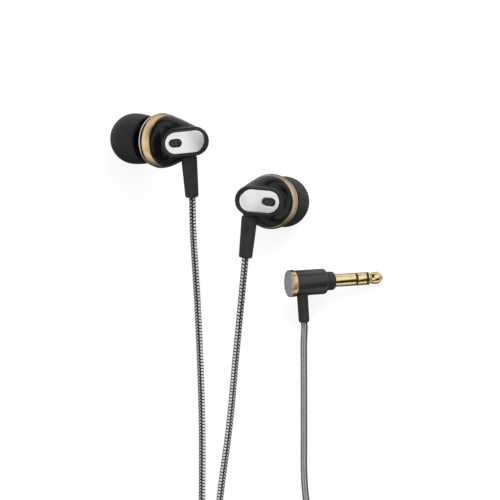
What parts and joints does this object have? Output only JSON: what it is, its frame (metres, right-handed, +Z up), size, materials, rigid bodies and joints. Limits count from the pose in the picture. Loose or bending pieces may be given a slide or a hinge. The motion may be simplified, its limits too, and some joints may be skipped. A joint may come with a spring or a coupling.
{
  "type": "wired earphones",
  "caption": "Wired in-ear earphones with pull-off silicone tips, oblong metal faceplates, braided cords, a Y-splitter and a right-angle 3.5 mm plug.",
  "frame": {"origin": "on the surface that the set lies on, under the middle of the two earpieces' box", "axes": "+Z up, +X towards the right-hand earpiece and along the plug's pin, -Y the way the cords run"},
  "size_m": [0.0845, 0.1761, 0.0261],
  "materials": {
    "black_silicone": "soft matte",
    "red_silicone": "soft matte",
    "black_gloss": "high gloss",
    "steel_mesh": "woven",
    "polished_steel": "polished",
    "gold_brushed": "brushed champagne gold",
    "black_satin": "satin",
    "brushed_aluminium": "brushed",
    "vent_mesh": "woven, dark",
    "driver_steel": "stamped",
    "magnet": "nickel plated",
    "copper_wire": "enamelled",
    "diaphragm_film": "thin film",
    "board_green": "solder resist",
    "boot_rubber": "matte",
    "braid": "braided black and grey",
    "cap_satin": "satin",
    "gold_contact": "polished plating",
    "insulator": "satin",
    "tie_vinyl": "matte"
  },
  "bodies": {
    "root": {"front_shell_left": "black_gloss", "front_shell_right": "black_gloss", "nozzle_mesh_left": "steel_mesh", "nozzle_mesh_right": "steel_mesh", "trim_ring_left": "polished_steel", "trim_ring_right": "polished_steel", "gold_ring_left": "gold_brushed", "gold_ring_right": "gold_brushed", "rear_shell_left": "black_gloss", "rear_shell_right": "black_gloss", "face_bezel_left": "black_satin", "face_bezel_right": "black_satin", "face_plate_left": "brushed_aluminium", "face_plate_right": "brushed_aluminium", "vent_mesh_left": "vent_mesh", "vent_mesh_right": "vent_mesh", "driver_frame_left": "driver_steel", "driver_frame_right": "driver_steel", "driver_magnet_left": "magnet", "driver_magnet_right": "magnet", "voice_coil_left": "copper_wire", "voice_coil_right": "copper_wire", "diaphragm_left": "diaphragm_film", "diaphragm_right": "diaphragm_film", "terminal_board_left": "board_green", "terminal_board_right": "board_green", "strain_relief_left": "boot_rubber", "strain_relief_right": "boot_rubber", "cord_anchor_left": "braid", "cord_anchor_right": "braid", "plug_end_cap": "cap_satin", "plug_cap_ring": "gold_brushed", "plug_barrel": "boot_rubber", "plug_core": "black_satin", "plug_strain_relief": "boot_rubber", "plug_cord_anchor": "braid", "jack_sleeve": "gold_contact", "jack_ring": "gold_contact", "jack_tip": "gold_contact", "jack_insulators": "insulator", "splitter": "boot_rubber", "left_cord": "braid", "left_coil": "braid", "left_tail": "braid", "right_cord": "braid", "right_coil": "braid", "right_tail": "braid", "main_cord": "braid", "main_coil": "braid", "main_tail": "braid", "left_tie": "tie_vinyl", "right_tie": "tie_vinyl", "main_tie": "tie_vinyl"},
    "tip_left": {"ear_tip_dome_left": "black_silicone", "ear_tip_core_left": "red_silicone"},
    "tip_right": {"ear_tip_dome_right": "black_silicone", "ear_tip_core_right": "red_silicone"}
  },
  "joints": [
    {"name": "left_tip_pull", "type": "slide", "parent": "root", "child": "tip_left", "axis": [-0.7052, 0.3842, -0.5959], "range_m": [0, 0.007]},
    {"name": "right_tip_pull", "type": "slide", "parent": "root", "child": "tip_right", "axis": [0.3403, 0.4399, -0.8311], "range_m": [0, 0.007]}
  ]
}
